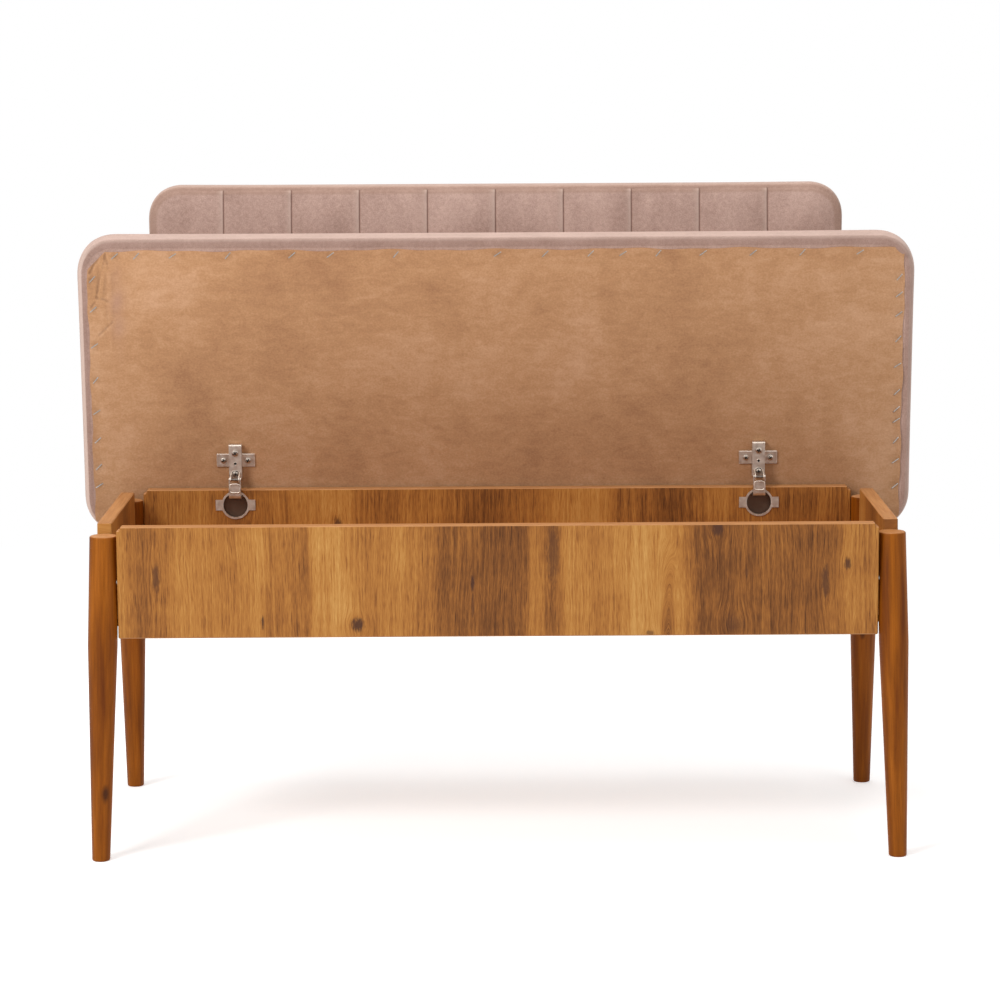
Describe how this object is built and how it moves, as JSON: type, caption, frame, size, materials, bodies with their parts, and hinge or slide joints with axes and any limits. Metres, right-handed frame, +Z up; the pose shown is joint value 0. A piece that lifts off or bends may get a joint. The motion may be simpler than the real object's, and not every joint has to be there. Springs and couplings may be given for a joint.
{
  "type": "dining bench",
  "caption": "Dining bench with a padded seat lid standing open on concealed hinges over a wooden storage box, splayed turned legs and a channelled backrest.",
  "frame": {"origin": "on the floor, at the centre of the bounding box of the bench with its seat open", "axes": "+X to the right of someone who faces the bench, along its length; -Y to the front; +Z up"},
  "size_m": [1.0904, 0.5249, 0.7994],
  "materials": {
    "wood_laminate": "satin wood-print laminate on board",
    "stained_beech": "orange-brown stain with a satin lacquer",
    "velvet": "short-pile velvet over foam",
    "chipboard": "raw particle board",
    "kraft_board": "matt brown paperboard",
    "lining": "thin black non-woven lining",
    "nickel": "nickel-plated pressed steel",
    "plain_steel": "plain turned steel",
    "zinc": "zinc-plated",
    "powder_coat": "black powder coat on flat steel bar"
  },
  "bodies": {
    "frame": {"backrest_board": "chipboard", "backrest_cushion": "velvet", "backrest_lining": "lining", "base_board": "wood_laminate", "front_left_cam": "zinc", "front_left_cam_bolt": "plain_steel", "front_left_dowel": "stained_beech", "front_left_leg": "stained_beech", "front_panel": "wood_laminate", "front_right_cam": "zinc", "front_right_cam_bolt": "plain_steel", "front_right_dowel": "stained_beech", "front_right_leg": "stained_beech", "left_backrest_bracket": "powder_coat", "left_backrest_high_bolt": "zinc", "left_backrest_low_bolt": "zinc", "left_bracket_inner_bolt": "zinc", "left_bracket_outer_bolt": "zinc", "left_cup_pin": "plain_steel", "left_end_panel": "wood_laminate", "left_hinge_cup": "nickel", "rear_left_cam": "zinc", "rear_left_cam_bolt": "plain_steel", "rear_left_dowel": "stained_beech", "rear_left_leg": "stained_beech", "rear_panel": "wood_laminate", "rear_right_cam": "zinc", "rear_right_cam_bolt": "plain_steel", "rear_right_dowel": "stained_beech", "rear_right_leg": "stained_beech", "right_backrest_bracket": "powder_coat", "right_backrest_high_bolt": "zinc", "right_backrest_low_bolt": "zinc", "right_bracket_inner_bolt": "zinc", "right_bracket_outer_bolt": "zinc", "right_cup_pin": "plain_steel", "right_end_panel": "wood_laminate", "right_hinge_cup": "nickel"},
    "lid": {"left_arm_adjusting_screw": "nickel", "left_arm_fixing_screw": "nickel", "left_hinge_arm": "nickel", "left_mounting_plate": "nickel", "left_plate_inner_screw": "nickel", "left_plate_outer_screw": "nickel", "lid_backing": "kraft_board", "lid_board": "chipboard", "right_arm_adjusting_screw": "nickel", "right_arm_fixing_screw": "nickel", "right_hinge_arm": "nickel", "right_mounting_plate": "nickel", "right_plate_inner_screw": "nickel", "right_plate_outer_screw": "nickel", "seat_cushion": "velvet"},
    "hinge_links": {"left_arm_pin": "plain_steel", "left_hinge_link": "nickel", "right_arm_pin": "plain_steel", "right_hinge_link": "nickel"}
  },
  "joints": [
    {"name": "lid_hinge", "type": "hinge", "parent": "frame", "child": "lid", "pos_m": [0, 0.11045, 0.397], "axis": [1, 0, 0], "range_deg": [0, 84.5]},
    {"name": "link_turn", "type": "hinge", "parent": "frame", "child": "hinge_links", "pos_m": [0, 0.10565, 0.39839], "axis": [1, 0, 0], "range_deg": [0, 99.45]}
  ],
  "couplings": [
    {"joint": "link_turn", "follows": "lid_hinge", "ratio": 1.1763}
  ]
}
